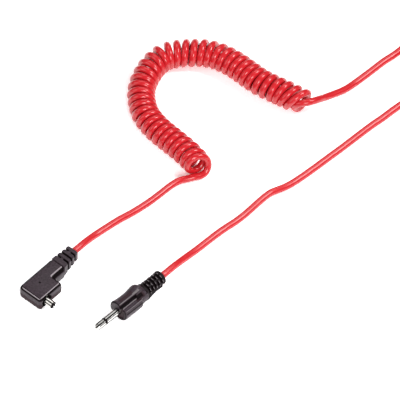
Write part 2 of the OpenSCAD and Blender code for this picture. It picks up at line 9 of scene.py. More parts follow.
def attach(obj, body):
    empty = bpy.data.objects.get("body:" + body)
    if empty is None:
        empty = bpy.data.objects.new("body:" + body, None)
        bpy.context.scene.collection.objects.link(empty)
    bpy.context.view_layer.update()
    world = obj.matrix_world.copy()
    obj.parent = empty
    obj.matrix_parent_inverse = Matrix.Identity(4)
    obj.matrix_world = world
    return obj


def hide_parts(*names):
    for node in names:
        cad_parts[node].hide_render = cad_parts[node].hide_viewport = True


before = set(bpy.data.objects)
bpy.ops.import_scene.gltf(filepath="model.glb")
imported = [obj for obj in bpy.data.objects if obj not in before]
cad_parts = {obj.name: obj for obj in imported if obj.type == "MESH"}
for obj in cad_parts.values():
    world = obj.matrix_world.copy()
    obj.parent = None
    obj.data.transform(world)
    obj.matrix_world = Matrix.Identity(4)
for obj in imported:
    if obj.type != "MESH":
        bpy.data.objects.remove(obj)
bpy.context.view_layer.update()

# ---------------------------------------------------------------- view and light
# The cord lies on a white table and is seen from the front, from 51 degrees up. The
# view is a parallel one, so that both plugs keep their true proportions.

look_at = Vector((0.04774, 0.05564, 0.0))
rise = radians(51)
eye_reach = 24.0

eye = bpy.data.objects.new("view", bpy.data.cameras.new("view"))
eye.data.type = "ORTHO"
eye.data.ortho_scale = 0.18
eye.data.clip_end = 1000
eye.location = look_at + eye_reach * Vector((0, -cos(rise), sin(rise)))
eye.rotation_euler = (pi / 2 - rise, 0, 0)
bpy.context.scene.collection.objects.link(eye)
bpy.context.scene.camera = eye
bpy.context.scene.view_settings.view_transform = "Standard"


class Feed:
    """A socket in a material. Sums on it add Math nodes, and add() makes any other node."""

    def __init__(self, tree, socket=None):
        self.tree = tree
        self.socket = socket

    def add(self, kind, settings=None, out=0, **values):
        node = self.tree.nodes.new("ShaderNode" + kind)
        for name, value in (settings or {}).items():
            if name == "stops":
                while len(node.color_ramp.elements) < len(value):
                    node.color_ramp.elements.new(1)
                for stop, (place, shade) in zip(node.color_ramp.elements, value):
                    stop.position = place
                    stop.color = (*shade, 1)
            else:
                setattr(node, name, value)
        for name, value in values.items():
            socket = node.inputs[int(name[1:])] if name[0] == "_" else node.inputs[name.replace("_", " ")]
            if isinstance(value, Feed):
                self.tree.links.new(value.socket, socket)
            else:
                socket.default_value = value
        return Feed(self.tree, node.outputs[out])

    def maths(self, operation, other, flip=False):
        first, second = (other, self) if flip else (self, other)
        return self.add("Math", {"operation": operation}, _0=first, _1=second)

    def __add__(self, other):
        return self.maths("ADD", other)

    def __radd__(self, other):
        return self.maths("ADD", other, flip=True)

    def __sub__(self, other):
        return self.maths("SUBTRACT", other)

    def __mul__(self, other):
        return self.maths("MULTIPLY", other)

    def __rmul__(self, other):
        return self.maths("MULTIPLY", other, flip=True)


def start_material(name):
    made = bpy.data.materials.new(name)
    made.use_nodes = True
    made.node_tree.nodes.clear()
    return made, Feed(made.node_tree)


def finish_material(made, surface):
    out = made.node_tree.nodes.new("ShaderNodeOutputMaterial")
    made.node_tree.links.new(surface.socket, out.inputs["Surface"])


# Table: it looks white in the view and in reflections, and keeps a faint shadow.
table_white, nodes = start_material("table_white")
direct = nodes.add("LightPath", out="Is Camera Ray") + nodes.add("LightPath", out="Is Glossy Ray")
seen = (direct + nodes.add("LightPath", out="Is Transmission Ray")).maths("MINIMUM", 1)
plain = nodes.add("BsdfDiffuse", Color=(0.8, 0.8, 0.8, 1))
shown = nodes.add("AddShader", _0=nodes.add("Emission", Color=(1, 1, 1, 1), Strength=0.1),
                  _1=nodes.add("BsdfDiffuse", Color=(1.85, 1.85, 1.85, 1)))
finish_material(table_white, nodes.add("MixShader", _0=seen, _1=plain, _2=shown))

table_z = -0.0002
table_corners = ((-3, -3), (3, -3), (3, 3), (-3, 3))
table_mesh = bpy.data.meshes.new("table")
table_mesh.from_pydata([(x, y, table_z) for x, y in table_corners], [], [(0, 1, 2, 3)])
table_mesh.materials.append(table_white)
table = bpy.data.objects.new("table", table_mesh)
bpy.context.scene.collection.objects.link(table)

room = bpy.data.worlds.new("room")
bpy.context.scene.world = room
room.use_nodes = True
room.node_tree.nodes.clear()
air = Feed(room.node_tree).add("Background", Color=(1, 1, 1, 1), Strength=0.2)
room_out = room.node_tree.nodes.new("ShaderNodeOutputWorld")
room.node_tree.links.new(air.socket, room_out.inputs["Surface"])

lamp_reach = 1.2


def softbox(name, way, size, power):
    """Area lamp that hangs in a direction from the middle of the view and points at it."""
    lamp = bpy.data.lights.new(name, "AREA")
    lamp.shape = "RECTANGLE"
    lamp.size, lamp.size_y = size
    lamp.energy = power
    box = bpy.data.objects.new(name, lamp)
    box.location = look_at + lamp_reach * Vector(way)
    box.rotation_euler = (look_at - box.location).to_track_quat("-Z", "Y").to_euler()
    bpy.context.scene.collection.objects.link(box)


softbox("softbox_front", (0.175, -0.818, 0.545), (0.42, 0.42), 7.5)
softbox("softbox_right", (0.60, 0.015, 0.80), (0.42, 0.42), 7.5)
softbox("softbox_left", (-0.79, -0.24, 0.56), (0.8, 0.8), 3.5)
softbox("softbox_back", (0, 0.58, 0.82), (0.8, 0.5), 3)

# ---------------------------------------------------------------- cord
# One red PVC-jacketed two-pole cord, heat-set into about forty springy curls. It runs
# from the right-angle plug through the curls, out of the view and back to the jack
# plug. What isn't seen is stored in a tied coil past the edge of the view.

MM = 0.001
# The cord and the plugs are set out in millimetres, and this shift brings them onto the
# frame's origin.
shift = Vector((-0.14, 0.35, 0))
cord_d = 3.3
cord_r = cord_d / 2
low = cord_r

# The right-angle plug lies flat. Its strain relief bends a little with the cord.
angle_corner = Vector((-30.6, -3.0, 0))
angle_turn = radians(47.8)
angle_mid_z = 3.5
relief_end = 33
angle_way = Vector((cos(angle_turn), sin(angle_turn), 0))
angle_side = Vector((-sin(angle_turn), cos(angle_turn), 0))


def relief_bend(x):
    return 0.3 + 0.068 * (x - 22)


def in_relief(x):
    return angle_corner + x * angle_way + relief_bend(x) * angle_side + Vector((0, 0, angle_mid_z))


# The jack plug is rolled about its own axis, onto the lower edge of its grip pad.
jack_corner = Vector((10.9, -13.3, 5.33))
jack_turn = radians(45.6)
jack_roll = radians(30)
jack_way = Vector((cos(jack_turn), sin(jack_turn), 0))
jack_exit = jack_corner + 27.9 * jack_way

near_run = [(-6.3, 25.3, 3.6), (-3.4, 28.9, 3.0), (-0.9, 31.8, 2.3), (1.6, 34.4, 1.8), (6.4, 38.5, low),
            (11.4, 42.5, low), (16.5, 46, low), (21.2, 49.6, low), (25.8, 53.5, low), (30.3, 57.9, low),
            (34.8, 62.3, low), (38.6, 65.1, low), (42.3, 66.3, low), (45.4, 67.1, 1.85)]
far_run = [(91.3, 106.3, 2.3), (90.5, 105.7, 3.8), (90.4, 105.1, 5.9), (91.8, 104.5, 7.7),
           (93.8, 104.2, 8.7), (96.7, 104.6, 9.05), (98.5, 105.4, 8.8), (100.2, 106.6, 8.1),
           (101.9, 108.3, 6.9), (103.6, 110, 5.6), (106.8, 112.5, 4.3), (110, 114.8, 3.4),
           (113.1, 117.2, 2.6), (117.2, 121.2, 1.8), (122, 125.8, low), (126.4, 130.1, low),
           (130.7, 134.3, low), (135.3, 138.1, low), (139.6, 142.4, low)]
back_run = [(36, 13.0, 4.7), (40.9, 19.0, 3.1), (45.8, 24.4, 2.0), (50.4, 29.2, low), (54.8, 33.6, low),
            (59.4, 37.8, low), (64.2, 41.8, low), (68.8, 46.4, low), (73.2, 51.5, low), (77.8, 56.5, low),
            (80, 58.4, low), (83, 59.9, low), (86, 61.4, low), (89, 63.4, low), (93.6, 67.2, low),
            (98, 71.2, low), (102.4, 75.3, low), (106.9, 79.6, low), (111.4, 83.8, low), (115.8, 88.1, low),
            (120.6, 92.8, low), (125.3, 97.3, low), (130.2, 101.6, low), (135, 106.2, low),
            (140, 110.4, 1.8), (146, 113.2, 2.9), (153, 114.6, 4.4)]


def smooth_run(points, step):
    """Points on a centripetal Catmull-Rom curve through the given ones, without its two end points."""
    p = [Vector(q) for q in points]
    made = []
    for a, b, c, d in zip(p, p[1:], p[2:], p[3:]):
        t1 = (b - a).length ** 0.5
        t2 = t1 + (c - b).length ** 0.5
        t3 = t2 + (d - c).length ** 0.5
        count = max(1, round((c - b).length / step))
        for i in range(count):
            t = t1 + (t2 - t1) * i / count
            ab = (t1 - t) / t1 * a + t / t1 * b
            bc = (t2 - t) / (t2 - t1) * b + (t - t1) / (t2 - t1) * c
            cd = (t3 - t) / (t3 - t2) * c + (t - t2) / (t3 - t2) * d
            abc = (t2 - t) / t2 * ab + t / t2 * bc
            bcd = (t3 - t) / (t3 - t1) * bc + (t - t1) / (t3 - t1) * cd
            made.append((t2 - t) / (t2 - t1) * abc + (t - t1) / (t2 - t1) * bcd)
    return made


# The curls' axis, and how many curls are wound at a distance along it.
curl_r = 4.85
axis_route = [(52.6, 62.9), (49.3, 67.3), (45.5, 72.9), (42, 77.2), (38.5, 81), (34.4, 85.2), (30.3, 89.4),
              (26.6, 94.1), (23.6, 99.3), (22, 105.1), (21.4, 111.1), (22.2, 117.1), (24.3, 122.9),
              (27.4, 128.4), (31.9, 132.8), (37.7, 134.7), (43.6, 135.2), (49.6, 135.1), (55.3, 133.6),
              (60.6, 130.6), (65.4, 126.9), (69.9, 122.8), (74.4, 118.8), (79.3, 115.5), (84.5, 112.5),
              (89.6, 109.4), (94, 106.6), (98, 104.1), (102, 101.6)]
curls_wound = ((0.8, -0.6), (2.05, 0), (3.6, 0.25), (4.5, 0.5), (5.35, 0.75), (6, 1), (7.1, 1.32),
               (9.2, 1.82), (13.5, 2.82), (17.4, 3.82), (38.7, 9.82), (56.6, 14.72), (76.8, 19.67),
               (96.2, 24.62), (114.4, 29.5), (124.5, 32.4), (131.8, 34.4), (136.5, 35.66), (139.7, 36.66),
               (141.5, 37.16), (143.2, 37.66), (144.6, 38), (145.7, 38.25), (146.8, 38.5), (148.4, 38.75),
               (150, 39), (151.5, 39.3))
axis_line = np.array(smooth_run([(x, y, 0) for x, y in axis_route], 0.3))
axis_s = np.concatenate(([0], np.cumsum(np.linalg.norm(np.diff(axis_line, axis=0), axis=1))))
wound_line = np.array(smooth_run([(s, turns, 0) for s, turns in curls_wound], 0.3))

# The first curls are narrower and lean towards the front, and the last ones lean
# forward at their far side.
curl_total = 39
first_phase = radians(-90)
first_lean = 1.1
first_narrow = 0.35
first_side = radians(130)
last_lean = 2.1
last_lean_from = 35.3
last_side = radians(115)


def axis_place(s):
    return Vector([float(np.interp(s, axis_s, axis_line[:, k])) for k in range(3)])


def curl_point(turns):
    s = float(np.interp(turns, wound_line[:, 1], wound_line[:, 0]))
    way = (axis_place(s + 1) - axis_place(s - 1 if s > 1 else 0)).normalized()
    phase = first_phase + 2 * pi * turns
    out = cos(phase) * Vector((way.y, -way.x, 0)) + Vector((0, 0, sin(phase)))
    lean = (first_lean * max(0, 1 - turns / 4) * cos(phase - first_side)
            + min(last_lean, 0.9 * max(0, turns - last_lean_from)) * cos(phase - last_side))
    narrow = first_narrow * max(0, 1 - turns / 2)
    return axis_place(s) + Vector((0, 0, curl_r + low - narrow)) + (curl_r - narrow) * out + lean * way


curl_steps = 28 * curl_total
curl_line = [curl_point(curl_total * i / curl_steps) for i in range(curl_steps + 1)]

# Stored turns: inwards on the table, up in half a turn, and outwards on top.
store_centre = Vector((166.5, 137, 0))
store_turns = 3.32
store_pitch = 3.45
store_edge = 18 + store_pitch * store_turns / 2
store_low = 0.6 + low
store_in = radians(140)
store_steps = 360


def store_point(turns):
    t = min(1, max(0, (turns - store_turns + 0.25) / 0.5))
    r = store_edge - store_pitch * (store_turns - abs(turns - store_turns))
    a = store_in - 2 * pi * turns
    height = store_low + store_pitch * t * t * (3 - 2 * t)
    return store_centre + r * Vector((cos(a), sin(a), 0)) + Vector((0, 0, height))


store_line = [store_point(2 * store_turns * i / store_steps) for i in range(store_steps + 1)]

cord_line = smooth_run([in_relief(29), in_relief(relief_end), in_relief(34.2), *near_run,
                        curl_line[0], curl_line[4]], 1.0)
cord_line += curl_line[:-1]
cord_line += smooth_run([curl_line[-5], curl_line[-1], *far_run, store_line[0], store_line[3]], 1.0)
cord_line += store_line[:-1]
cord_line += smooth_run([store_line[-4], store_line[-1], *reversed(back_run), jack_exit + 1.2 * jack_way,
                         jack_exit, jack_exit - 4 * jack_way], 1.0) + [jack_exit]
cord_line = [(p + shift) * MM for p in cord_line]
cord_length = sum((b - a).length for a, b in zip(cord_line, cord_line[1:]))


def sweep(name, line, radius, sides):
    """Round tube along a line, with rings that don't twist and a UV map along it."""
    last = len(line) - 1
    tangents = [(line[min(i + 1, last)] - line[max(i - 1, 0)]).normalized() for i in range(last + 1)]
    side = tangents[0].cross(Vector((0, 0, 1))).normalized()
    skin = bmesh.new()
    rings = []
    for place, way in zip(line, tangents):
        side = (side - side.dot(way) * way).normalized()
        up = way.cross(side)
        rings.append([skin.verts.new(place + radius * (cos(a) * side + sin(a) * up))
                      for a in (2 * pi * k / sides for k in range(sides))])
    length = np.concatenate(([0], np.cumsum([(b - a).length for a, b in zip(line, line[1:])])))
    uv = skin.loops.layers.uv.new("UVMap")
    for i in range(len(rings) - 1):
        for k in range(sides):
            n = (k + 1) % sides
            face = skin.faces.new((rings[i][k], rings[i][n], rings[i + 1][n], rings[i + 1][k]))
            face.smooth = True
            for loop, (u, v) in zip(face.loops, ((k, i), (k + 1, i), (k + 1, i + 1), (k, i + 1))):
                loop[uv].uv = (u / sides, length[v])
    skin.faces.new(list(reversed(rings[0])))
    skin.faces.new(rings[-1])
    mesh = bpy.data.meshes.new(name)
    skin.to_mesh(mesh)
    skin.free()
    piece = bpy.data.objects.new(name, mesh)
    bpy.context.scene.collection.objects.link(piece)
    return piece


red_pvc, nodes = start_material("red_pvc")
where = nodes.add("TexCoord", out="Object")
mottle = nodes.add("TexNoise", Vector=where, Scale=160.0, Detail=2.0)
grain = nodes.add("TexNoise", Vector=where, Scale=2600.0, Detail=2.0)
tint = nodes.add("Mix", {"data_type": "RGBA"}, out=2, _0=mottle,
                 _6=(0.60, 0.011, 0.018, 1), _7=(0.70, 0.022, 0.03, 1))
dimples = nodes.add("Bump", Strength=0.03, Distance=0.00003, Height=grain)
finish_material(red_pvc, nodes.add("BsdfPrincipled", Base_Color=tint, Roughness=0.17 + 0.05 * mottle,
                                   IOR=1.52, Normal=dimples))

cord = sweep("cord", cord_line, cord_r * MM, 24)
cord.data.materials.append(red_pvc)
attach(cord, "root")
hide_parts("angle_lead", "curly_cord", "far_lead", "stored_coil", "jack_lead")

# ---------------------------------------------------------------- coil tie
# A narrow black hook-and-loop strap of woven nylon. It goes once round the stored
# turns and holds by lying on itself.

black_strap, nodes = start_material("black_strap")
nap = nodes.add("TexNoise", Vector=nodes.add("TexCoord", out="Object"), Scale=3800.0, Detail=3.0)
tint = nodes.add("Mix", {"data_type": "RGBA"}, out=2, _0=nap,
                 _6=(0.012, 0.012, 0.014, 1), _7=(0.045, 0.045, 0.05, 1))
finish_material(black_strap, nodes.add("BsdfPrincipled", Base_Color=tint, Roughness=0.9,
                                       Normal=nodes.add("Bump", Strength=0.6, Distance=0.0001, Height=nap)))


def coat(material, *names):
    """Gives CAD pieces a material."""
    for name in names:
        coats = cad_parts[name].data.materials
        coats.clear()
        coats.append(material)


coat(black_strap, "coil_tie")

# ---------------------------------------------------------------- right-angle plug
# A black PVC moulding, shot round a hard inner one and the cord. It has a raised panel
# on its top with a ledge round it, the gate's dimple in the panel, and a round recess
# in the long side that the tip leaves through.

moulded_pvc, nodes = start_material("moulded_pvc")
where = nodes.add("TexCoord", out="Object")
cloud = (nodes.add("TexNoise", Vector=where, Scale=1200.0, Detail=4.0) - 0.3) * 2.5
grain = nodes.add("TexNoise", Vector=where, Scale=4200.0, Detail=2.0)
tint = nodes.add("Mix", {"data_type": "RGBA"}, out=2, _0=cloud,
                 _6=(0.020, 0.011, 0.016, 1), _7=(0.056, 0.037, 0.049, 1))
dimples = nodes.add("Bump", Strength=0.12, Distance=0.00006, Height=grain)
finish_material(moulded_pvc, nodes.add("BsdfPrincipled", Base_Color=tint, Roughness=0.34 + 0.12 * cloud,
                                       Specular_IOR_Level=0.25, Normal=dimples))


def speckled(name, scale, rough, rough_more, dark, light=None, detail=2.0, **settings):
    """Material whose roughness, and its colour where two are given, drifts with a soft noise."""
    made, nodes = start_material(name)
    cloud = nodes.add("TexNoise", Vector=nodes.add("TexCoord", out="Object"), Scale=scale, Detail=detail)
    tint = (*dark, 1)
    if light:
        tint = nodes.add("Mix", {"data_type": "RGBA"}, out=2, _0=cloud, _6=tint, _7=(*light, 1))
    finish_material(made, nodes.add("BsdfPrincipled", Base_Color=tint, Roughness=rough + rough_more * cloud,
                                    **settings))
    return made


# The same PVC painted near-black with shade where it falls in grooves, recesses and slots, which is also the
# black insulators' own colour.
black_and_painted_shade = speckled("black_and_painted_shade", 300.0, 0.6, 0.1, (0.004, 0.002, 0.0026), (0.008, 0.004, 0.005),
                       Specular_IOR_Level=0.08)
# The same PVC painted darker with shade, on the lower walls and in the hollows.
moulded_painted_shade = speckled("moulded_painted_shade", 300.0, 0.5, 0.1, (0.032, 0.017, 0.020), (0.048, 0.028, 0.033),
                       Specular_IOR_Level=0.12)
# The same PVC with a painted highlight, along the rim's bevel and on the relief's rib edges.
moulded_painted_highlight = speckled("moulded_painted_highlight", 700.0, 0.3, 0.1, (0.26, 0.22, 0.24), (0.38, 0.33, 0.355))

crease = radians(35)


def piece_from(name, skin, *materials):
    bmesh.ops.recalc_face_normals(skin, faces=skin.faces)
    mesh = bpy.data.meshes.new(name)
    skin.to_mesh(mesh)
    skin.free()
    mesh.shade_smooth()
    mesh.set_sharp_from_angle(angle=crease)
    for material in materials:
        mesh.materials.append(material)
    piece = bpy.data.objects.new(name, mesh)
    bpy.context.scene.collection.objects.link(piece)
    return piece


def loft(rings, slot_of=None, closed=False):
    """Skin over rings of equal size; slot_of gives a face's material from its ring and step."""
    skin = bmesh.new()
    count = len(rings[0])
    made = [[skin.verts.new(Vector(p) * MM) for p in ring] for ring in rings]
    pairs = list(zip(made, made[1:])) + ([(made[-1], made[0])] if closed else [])
    for i, (low_ring, high_ring) in enumerate(pairs):
        for k in range(count):
            n = (k + 1) % count
            face = skin.faces.new((low_ring[k], low_ring[n], high_ring[n], high_ring[k]))
            if slot_of:
                face.material_index = slot_of(i, k)
    if not closed:
        skin.faces.new(list(reversed(made[0])))
        skin.faces.new(made[-1])
    return skin


def turned(profile, steps=64, slot_of=None):
    """Solid turned about the x axis from a closed outline of (x, radius) points."""
    return loft([[(x, r * cos(a), r * sin(a)) for x, r in profile]
                 for a in (2 * pi * k / steps for k in range(steps))], slot_of, closed=True)


def arc(x, y, r, first, last, steps):
    return [(x + r * cos(radians(first + (last - first) * i / steps)),
             y + r * sin(radians(first + (last - first) * i / steps))) for i in range(steps + 1)]


def carve(piece, *tools, operation="DIFFERENCE"):
    """Cuts the tools out of a piece, or joins them to it, and removes them."""
    for tool in tools:
        step = piece.modifiers.new("carve", "BOOLEAN")
        step.object = tool
        step.operation = operation
        step.solver = "EXACT"
        step.material_mode = "TRANSFER"
    bpy.context.view_layer.update()
    done = bpy.data.meshes.new_from_object(piece.evaluated_get(bpy.context.evaluated_depsgraph_get()))
    piece.modifiers.clear()
    piece.data = done
    done.shade_smooth()
    done.set_sharp_from_angle(angle=crease)
    for tool in tools:
        bpy.data.objects.remove(tool)


# Section of the rim from the wall's middle up to the panel, as (height, inset) at the
# end, back, tip side, head and neck. The underside has a plain round edge.
angle_h = 7
rim = (
    ((3.5, 0), (3.5, 0), (3.5, 0), (3.5, 0), (3.5, 0)),
    ((4.6, 0.03), (4.5, 0.04), (4.6, 0.03), (4.4, 0.06), (4.2, 0.03)),
    ((5.4, 0.07), (5.2, 0.14), (5.4, 0.07), (5.1, 0.18), (4.8, 0.10)),
    ((5.8, 0.10), (5.7, 0.35), (5.85, 0.12), (5.6, 0.40), (5.15, 0.28)),
    ((6.02, 0.16), (5.95, 0.60), (6.12, 0.20), (5.9, 0.65), (5.3, 0.55)),
    ((6.10, 0.26), (6.08, 0.85), (6.26, 0.32), (6.05, 0.90), (5.36, 0.80)),
    ((6.12, 0.42), (6.15, 1.05), (6.30, 0.46), (6.12, 1.10), (5.4, 1.00)),
    ((6.20, 0.48), (6.18, 1.15), (6.24, 0.54), (6.14, 1.25), (5.44, 1.15)),
    ((6.34, 0.44), (6.16, 1.25), (6.18, 0.62), (6.12, 1.35), (5.5, 1.28)),
    ((6.42, 0.46), (6.14, 1.32), (6.20, 0.74), (6.12, 1.42), (5.6, 1.36)),
    ((6.47, 0.62), (6.20, 1.36), (6.32, 0.80), (6.20, 1.46), (5.75, 1.42)),
    ((6.49, 0.95), (6.30, 1.38), (6.50, 0.82), (6.30, 1.48), (6.1, 1.46)),
    ((6.50, 1.16), (6.50, 1.40), (6.66, 0.84), (6.50, 1.50), (6.5, 1.50)),
    ((6.62, 1.24), (6.72, 1.44), (6.76, 0.88), (6.72, 1.55), (6.74, 1.54)),
    ((6.88, 1.30), (6.90, 1.52), (6.90, 1.00), (6.90, 1.65), (6.90, 1.66)),
    ((6.97, 1.38), (6.97, 1.62), (6.98, 1.12), (6.97, 1.75), (6.98, 1.94)),
    ((7.00, 1.46), (7.00, 1.72), (7.00, 1.20), (7.00, 1.85), (7.00, 2.10)))
foot_steps = ((7, 1.1), (6.9, 0.7), (6.65, 0.36), (6.25, 0.16), (5.6, 0.08), (4.6, 0.03))
foot = [[(z, inset)] * 5 for z, inset in foot_steps]

# Where the walls stand, in x and in y.
end_x, rear_x, head_x = -0.15, 21.6, 15.1
back_y, tip_y, neck_y = 4.6, -9.05, -4.35


def body_ring(level, under=False):
    """Outline of the moulding at one level, and the side that each of its points is on."""
    (ze, e), (zb, b), (zt, t), (zh, h), (zn, n) = level
    part = e / rim[-1][0][1]
    r_end, r_tip, r_rear = 2.4 - 2 * part, 1.6 - 1.3 * part, 0.3 - 0.1 * part
    r_head, r_neck = 1.5 - 1.1 * part, 1.3 + 0.2 * part
    x0, x1, xh = end_x + e, rear_x - 0.1 * e, head_x - h
    yb, yt, yn = back_y - b, tip_y + t, neck_y + n
    spans = (
        (arc(x0 + r_end, yb - r_end, r_end, 180, 90, 12), ze, zb, "end", "back"),
        (arc(x1 - r_rear, yb - r_rear, r_rear, 90, 0, 5), zb, zb, "back", "rear"),
        (arc(x1 - r_rear, yn + r_rear, r_rear, 0, -90, 5), zn, zn, "rear", "neck"),
        (arc(xh + r_neck, yn - r_neck, r_neck, 90, 180, 10), zn, zh, "neck", "head"),
        (arc(xh - r_head, yt + r_head, r_head, 0, -90, 10), zh, zt, "head", "tip"),
        (arc(x0 + r_tip, yt + r_tip, r_tip, -90, -180, 12), zt, ze, "tip", "end"))
    ring, sides = [], []
    for points, z0, z1, first_side, last_side in spans:
        for i, (x, y) in enumerate(points):
            z = z0 + (z1 - z0) * i / (len(points) - 1)
            ring.append((x, y, angle_h - z if under else z))
            sides.append(first_side if i < (len(points) - 1) / 2 else last_side)
    return ring, sides


# The steps of the rim that are painted with shade, in its groove and along most of the back, and those that
# carry a painted highlight.
painted_shade_steps = {"end": (*range(3, 10), 12, 13), "back": range(14), "tip": range(3, 12),
                "head": range(3, 13), "neck": range(3, 13)}
painted_highlight_steps = {"end": (10, 11), "tip": (12, 13, 14), "neck": (13, 14, 15)}
rim_sides = body_ring(rim[0])[1]


# Slot 3 paints shade on the lower walls of the end and tip sides, slot 1 paints shade in the groove and along
# the back, and slot 2 paints a highlight on the bevel.
def rim_slot(i, k):
    step, side = i - len(foot), rim_sides[k]
    if step < 0:
        return 3 if side in ("end", "tip") else 0
    if step in painted_shade_steps.get(side, ()):
        return 1
    return 2 if step in painted_highlight_steps.get(side, ()) else 0


angle_frame = Matrix.Translation((angle_corner + shift) * MM) @ Matrix.Rotation(angle_turn, 4, "Z")
tip_x = 4.3


def tip_frame(y):
    """The tip's own x axis runs into the head at this place."""
    return Matrix.Translation((tip_x * MM, y * MM, angle_mid_z * MM)) @ Matrix.Rotation(pi / 2, 4, "Z")


body_rings = [body_ring(level, under=True)[0] for level in foot] + [body_ring(level)[0] for level in rim]
angle_body = piece_from("angle_body_skin", loft(body_rings, rim_slot),
                        moulded_pvc, black_and_painted_shade, moulded_painted_highlight, moulded_painted_shade)
# The recess and the gate's dimple take painted shade from their cutting tools.
recess = piece_from("recess", turned([(-13, 0), (-13, 3.3), (-9.1, 3.3), (-8.8, 2.85), (-7, 2.8), (-7, 0)]),
                    black_and_painted_shade)
recess.data.transform(tip_frame(0))
gate = piece_from("gate", turned([(6.78, 0), (6.8, 0.3), (6.9, 0.5), (8, 0.55), (8, 0)]), black_and_painted_shade)
gate.data.transform(Matrix.Translation((7.9 * MM, -1.45 * MM, 0)) @ Matrix.Rotation(-pi / 2, 4, "Y"))
carve(angle_body, recess, gate)
angle_body.data.transform(angle_frame)
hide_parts("angle_body")
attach(angle_body, "root")

# ---------------------------------------------------------------- right-angle strain relief
# A tapered, nearly square PVC sleeve, moulded on with the plug. Three rows of slots
# round a solid core let it bend with the cord.

relief_start = 21.98
angle_slots = [(start, start + 0.85) for start in (24.85, 27.55, 30.25)]
angle_ribs = list(zip([relief_start, *(stop for start, stop in angle_slots)],
                      [*(start for start, stop in angle_slots), relief_end]))


def near(value, low_end, high_end):
    return low_end < value < high_end


def square_reach(a, half_y, half_z, r):
    """Distance from the middle to the edge of a rectangle with round corners."""
    c, s = abs(cos(a)), abs(sin(a))
    reach = min(half_y / max(c, 1e-6), half_z / max(s, 1e-6))
    if reach * c > half_y - r and reach * s > half_z - r:
        mid = (half_y - r) * c + (half_z - r) * s
        reach = mid + sqrt(max(0, mid * mid - (half_y - r) ** 2 - (half_z - r) ** 2 + r * r))
    return reach


def angle_relief_reach(x, a):
    """Distance from the relief's middle to its skin: ribs with round edges, bridges and the core."""
    taper = (x - 21.6) / 12
    half_y, half_z = 4.05 - 1.05 * taper, 3.48 - 0.72 * taper
    inset = 0.5 if x < relief_start else 0.0
    for start, stop in angle_ribs:
        if start <= x <= stop:
            inset = 0.38 * (max(0, 1 - (x - start) / 0.3) ** 2 + max(0, 1 - (stop - x) / 0.3) ** 2)
    reach = square_reach(a, half_y - inset, half_z - inset, 1.0)
    for k, (start, stop) in enumerate(angle_slots):
        if near(x, start, stop):
            y, z = reach * cos(a), reach * sin(a)
            bridge = near(y, -0.55, 1.25) if k % 2 == 0 else abs(z) < 1.1
            return square_reach(a, half_y - 0.45, half_z - 0.45, 1.0) if bridge else 2.0
    return reach


def polar_piece(name, stations, steps, reach_at, materials, middle=lambda x: (0, 0)):
    """Piece drawn as a distance from its middle line at each station and angle."""
    turns = [2 * pi * (k + 0.5) / steps for k in range(steps)]
    rings = []
    for x in stations:
        y0, z0 = middle(x)
        rings.append([(x, y0 + reach_at(x, a) * cos(a), z0 + reach_at(x, a) * sin(a)) for a in turns])
    return piece_from(name, loft(rings), *materials)


def paint_shade_in_slots(piece, core, end, middle=lambda x: (0, 0)):
    """Gives the faces that touch a relief's core the second material, which paints shade into the slots."""
    for face in piece.data.polygons:
        spots = [piece.data.vertices[v].co / MM for v in face.vertices]
        deep = min((p.y - middle(p.x)[0]) ** 2 + (p.z - middle(p.x)[1]) ** 2 for p in spots) < core * core
        if deep and face.center.x < end * MM:
            face.material_index = 1


def angle_middle(x):
    return relief_bend(x), angle_mid_z


angle_stations = [21.5, 21.97]
for start, stop in angle_ribs:
    start, stop = round(start, 2), round(stop, 2)
    angle_stations += [start, start + 0.1, start + 0.3, (start + stop) / 2, stop - 0.3, stop - 0.1, stop]
    if stop < relief_end:
        angle_stations += [stop + 0.01, stop + 0.84]
angle_relief = polar_piece("angle_relief_skin", angle_stations, 160, angle_relief_reach,
                           (moulded_pvc, black_and_painted_shade), angle_middle)
paint_shade_in_slots(angle_relief, 2.3, 32.5, angle_middle)
# The relief's face against the moulding also gets painted shade.
for face in angle_relief.data.polygons:
    if face.center.x < 21.99 * MM:
        face.material_index = 1
angle_relief.data.transform(angle_frame)
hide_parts("angle_strain_relief")
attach(angle_relief, "root")

# ---------------------------------------------------------------- coaxial tip
# A nickel-plated brass tube, with four straight saw cuts across its mouth that leave
# eight springy fingers. A dark insulator in it carries the centre contact.

mouth_y = -13.1
nickel_plate = speckled("nickel_plate", 900.0, 0.2, 0.1, (0.56, 0.54, 0.51), (0.66, 0.645, 0.615), detail=3.0,
                        Metallic=1.0)
# Nickel painted dark with shade, for the centre pin deep in the tip.
nickel_in_painted_shade = speckled("nickel_in_painted_shade", 900.0, 0.4, 0.1, (0.10, 0.097, 0.092), detail=3.0, Metallic=1.0)

# The tube's outside is nickel; its inside, its ends and its saw cuts get painted shade.
sleeve_outline = [(0.3, 1.42), (0.06, 1.5), (0, 1.6), (0.06, 1.69), (0.3, 1.75), (6.1, 1.75), (6.1, 1.42)]
sleeve = piece_from("angle_sleeve_skin", turned(sleeve_outline, 96, lambda i, k: 0 if k in (4, 5) else 1),
                    nickel_plate, black_and_painted_shade)
cuts = []
for a in (23, 68, 113, 158):
    across = ((-2, -0.21), (2, -0.21), (2, 0.21), (-2, 0.21))
    saw = piece_from("saw", loft([[(x, y, z) for y, z in across] for x in (-1, 4.6)]), black_and_painted_shade)
    saw.data.transform(Matrix.Rotation(radians(a), 4, "X"))
    cuts.append(saw)
carve(sleeve, *cuts)
sleeve.data.transform(tip_frame(mouth_y))
sleeve.data.transform(angle_frame)
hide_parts("angle_tip_sleeve")
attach(sleeve, "root")

